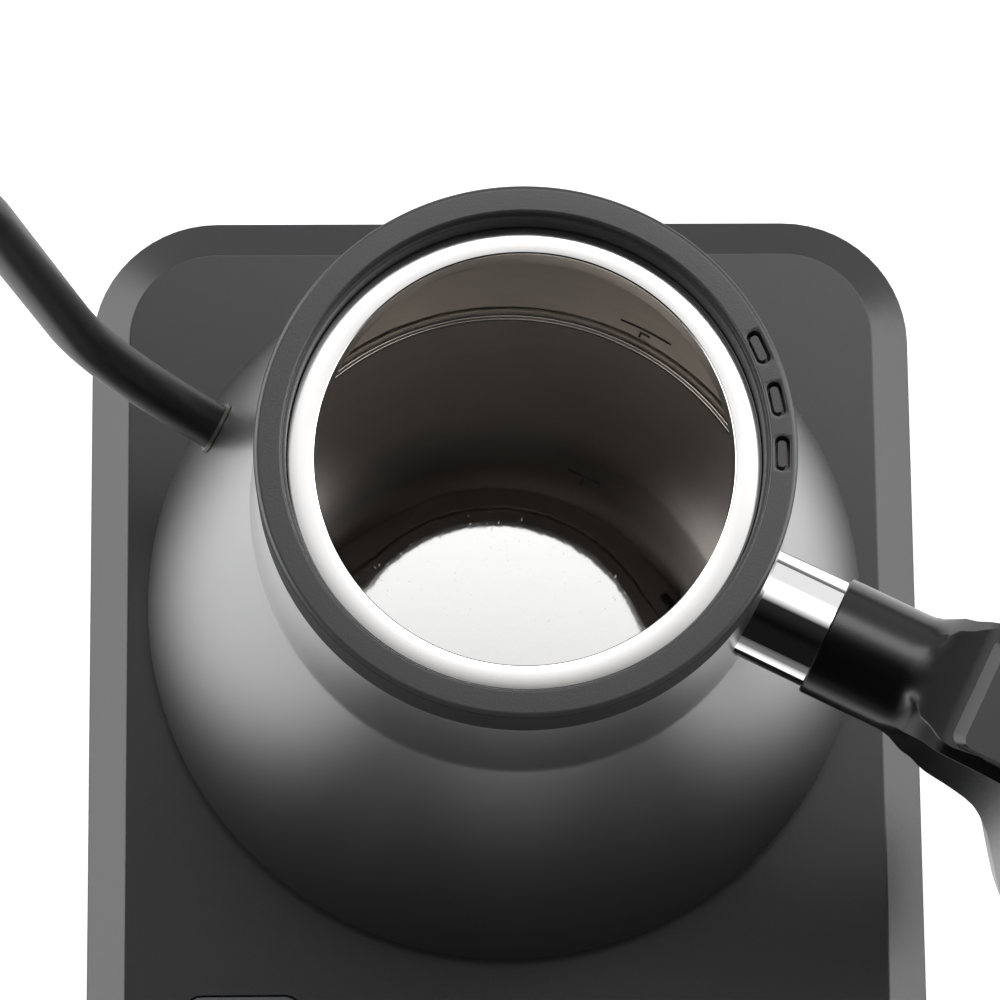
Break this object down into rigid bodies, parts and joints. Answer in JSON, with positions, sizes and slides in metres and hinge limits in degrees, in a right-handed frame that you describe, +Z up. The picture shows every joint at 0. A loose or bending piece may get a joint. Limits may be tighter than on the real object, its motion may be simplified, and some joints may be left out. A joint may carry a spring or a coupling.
{
  "type": "electric kettle",
  "caption": "Gooseneck electric kettle with its lid off, a conical steel body, collar and pistol-grip handle, standing on a flat rectangular base with keys and a display.",
  "frame": {"origin": "on the surface the base stands on, under the kettle's vertical axis, at the underside of the middle foot", "axes": "+Z up, -Y towards the keys at the front, +X to the right; at rest the handle points to the front right and the spout to the back left"},
  "size_m": [0.2605, 0.224, 0.182],
  "materials": {
    "painted_steel": "satin black powder coat on steel",
    "steel": "stainless steel, polished round the mouth and brushed inside",
    "chrome": "bright chrome",
    "aluminium": "plain cast aluminium",
    "heater_tube": "heat-tinted steel tube",
    "wire": "silicone-covered wire",
    "screw_steel": "zinc-plated steel",
    "black_plastic": "matt black moulding",
    "collar_plastic": "matt dark grey moulding",
    "handle_plastic": "satin black moulding",
    "thumb_plastic": "fine-textured black moulding",
    "base_plastic": "fine matt charcoal moulding",
    "key_plastic": "matt charcoal key cap",
    "display_glass": "gloss black window",
    "display_body": "plain moulded module",
    "rubber": "black rubber",
    "silicone": "red silicone",
    "circuit_board": "green lacquered board",
    "terminal_plastic": "green moulded block",
    "copper_winding": "lacquered copper winding and core",
    "brass": "plain brass contacts"
  },
  "bodies": {
    "base": {"base_cover": "base_plastic", "base_tray": "black_plastic", "feet": "rubber", "centre_foot": "rubber", "base_screws": "screw_steel", "plug_housing": "black_plastic", "plug_contacts": "brass", "plug_seal": "rubber", "display_window": "display_glass", "display_module": "display_body", "key_board": "circuit_board", "key_switches": "black_plastic", "main_board": "circuit_board", "relay": "display_body", "transformer": "copper_winding", "capacitors": "display_body", "terminal_block": "terminal_plastic", "cord_gland": "rubber", "cord_clamp": "black_plastic"},
    "socket": {"socket_housing": "black_plastic", "socket_contacts": "brass"},
    "kettle": {"vessel": "painted_steel", "floor_plate": "steel", "heat_spreader": "aluminium", "heater_ring": "heater_tube", "thermostats": "aluminium", "temp_probe": "steel", "probe_seal": "silicone", "jumper_wires": "wire", "bottom_skirt": "black_plastic", "bottom_plate": "black_plastic", "bottom_screws": "screw_steel", "collar": "collar_plastic", "mouth_ring": "steel", "mouth_seal": "rubber", "spout_tube": "painted_steel", "spout_ring": "steel", "spout_strainer": "steel", "ferrule": "chrome", "handle_stud": "steel", "handle_sleeve": "handle_plastic", "handle_rod": "steel", "grip_left": "handle_plastic", "grip_right": "handle_plastic", "thumb_plate": "thumb_plastic", "grip_cap": "thumb_plastic", "grip_screws": "screw_steel"},
    "key_power": {"key_power": "key_plastic"},
    "key_hold": {"key_hold": "key_plastic"},
    "key_timer": {"key_timer": "key_plastic"},
    "key_plus": {"key_plus": "key_plastic"},
    "key_minus": {"key_minus": "key_plastic"}
  },
  "joints": [
    {"name": "kettle_lift", "type": "slide", "parent": "base", "child": "socket", "axis": [0, 0, 1], "range_m": [0, 0.18]},
    {"name": "kettle_spin", "type": "hinge", "parent": "socket", "child": "kettle", "pos_m": [0, 0, 0.04], "axis": [0, 0, 1], "continuous": true},
    {"name": "key_power_press", "type": "slide", "parent": "base", "child": "key_power", "axis": [0, 0, -1], "range_m": [0, 0.0005], "stiffness_N_per_m": 600},
    {"name": "key_hold_press", "type": "slide", "parent": "base", "child": "key_hold", "axis": [0, 0, -1], "range_m": [0, 0.0005], "stiffness_N_per_m": 600},
    {"name": "key_timer_press", "type": "slide", "parent": "base", "child": "key_timer", "axis": [0, 0, -1], "range_m": [0, 0.0005], "stiffness_N_per_m": 600},
    {"name": "key_plus_press", "type": "slide", "parent": "base", "child": "key_plus", "axis": [0, 0, -1], "range_m": [0, 0.0005], "stiffness_N_per_m": 600},
    {"name": "key_minus_press", "type": "slide", "parent": "base", "child": "key_minus", "axis": [0, 0, -1], "range_m": [0, 0.0005], "stiffness_N_per_m": 600}
  ]
}
